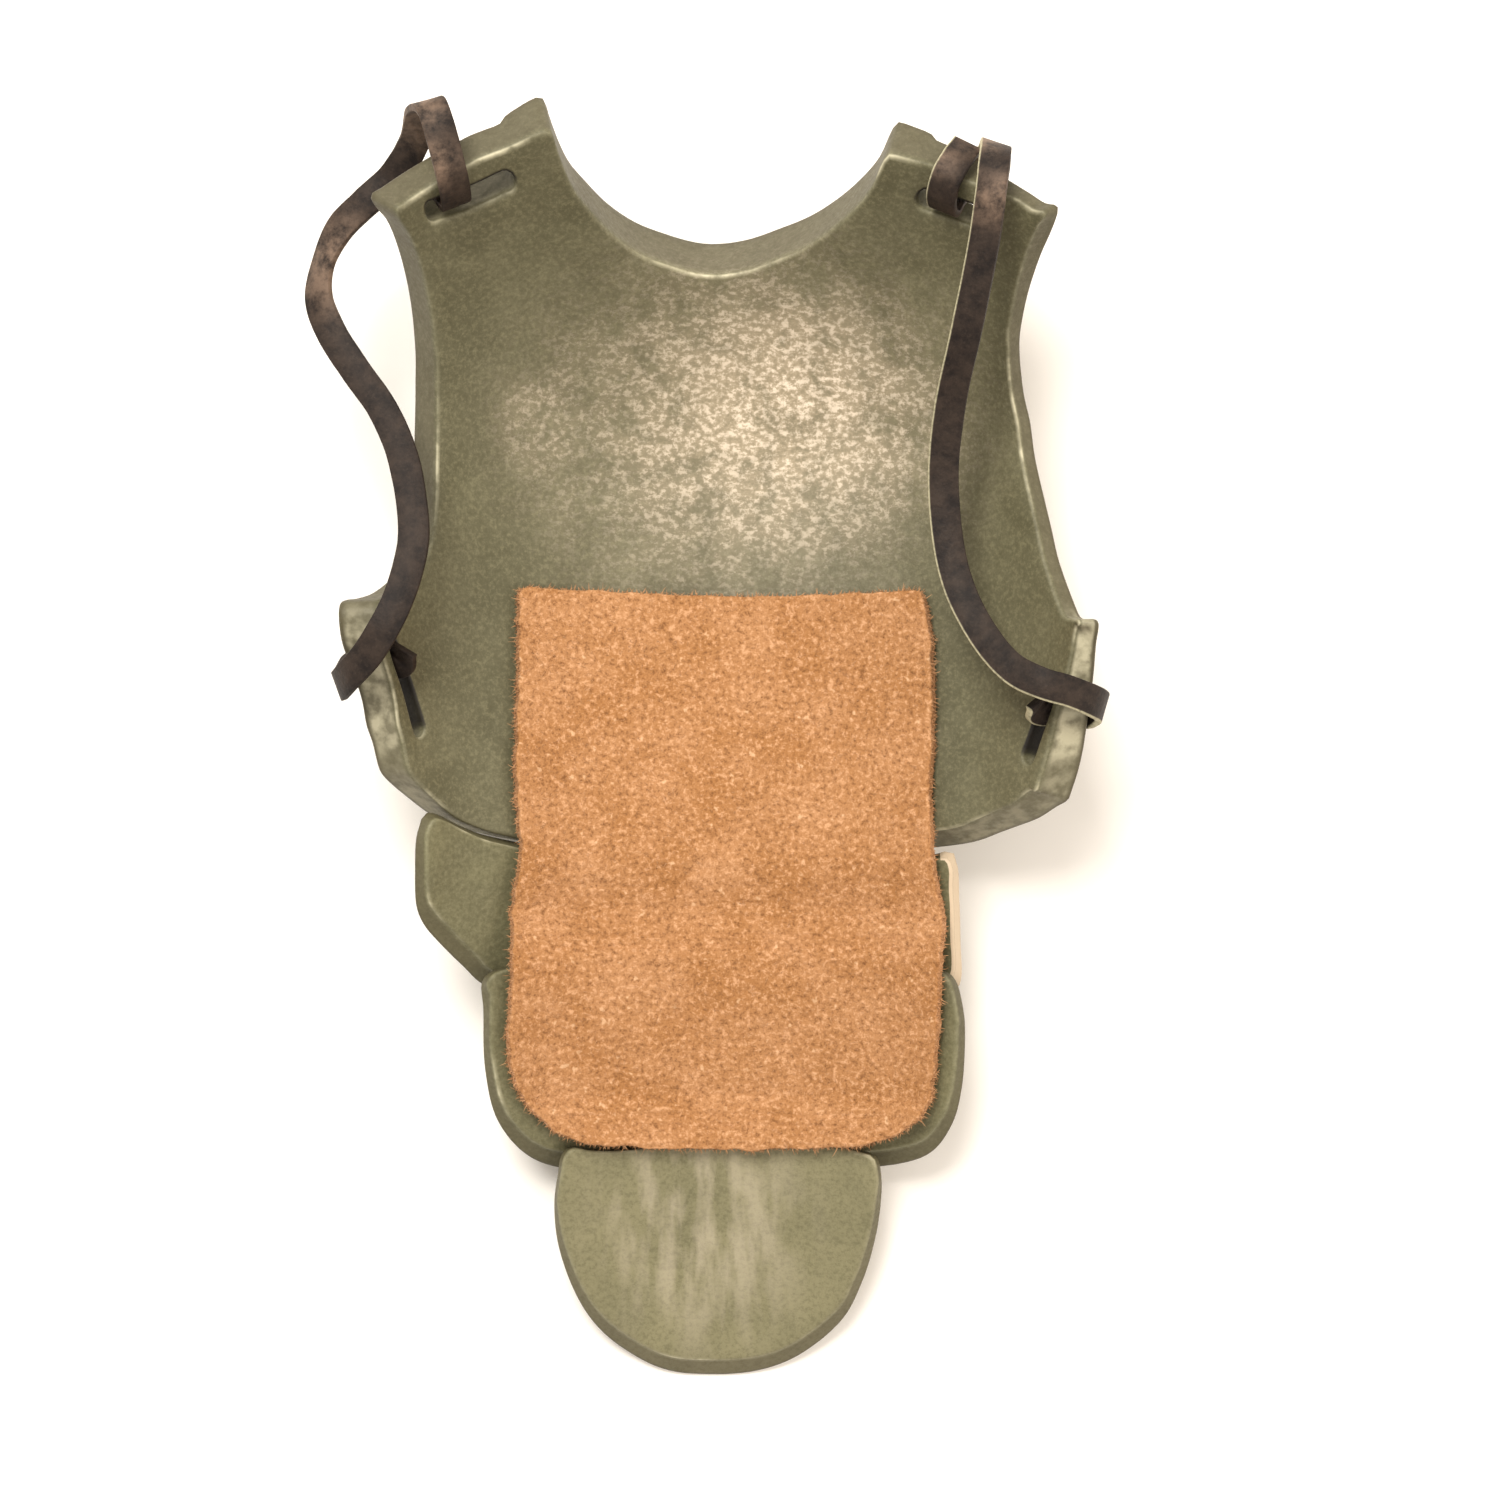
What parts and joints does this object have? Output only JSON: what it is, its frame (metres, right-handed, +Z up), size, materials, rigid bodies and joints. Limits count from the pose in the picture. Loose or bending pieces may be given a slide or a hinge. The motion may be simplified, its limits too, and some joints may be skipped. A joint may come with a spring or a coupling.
{
  "type": "model breastplate",
  "caption": "One-sixth-scale breastplate lying on its front: a thick cast chest plate with neck, arm and strap cut-outs, hinged skirt lames on a suede backing, and two leather straps.",
  "frame": {"origin": "centre of the small flat at the lowest point of the chest plate's outer face, on which the part lies", "axes": "+Z up, out of the hollow; +Y along the body towards the neck; +X to the right as the hollow is looked into with the neck at the top"},
  "size_m": [0.0655, 0.1055, 0.0253],
  "materials": {
    "chest_plate": "cast resin painted worn olive steel, dry-brushed silver",
    "upper_lame": "cast resin painted worn olive steel, raw cream resin at the break",
    "middle_lame": "cast resin painted worn olive steel",
    "lower_lame": "cast resin painted worn olive steel",
    "suede_panel": "tan suede, napped side up",
    "left_strap": "dark brown leather, worn",
    "right_strap": "dark brown leather, raw cut edges"
  },
  "bodies": {
    "root": {"chest_plate": "chest_plate", "upper_lame": "upper_lame", "middle_lame": "middle_lame", "lower_lame": "lower_lame", "suede_panel": "suede_panel", "left_strap": "left_strap", "right_strap": "right_strap"}
  },
  "joints": []
}
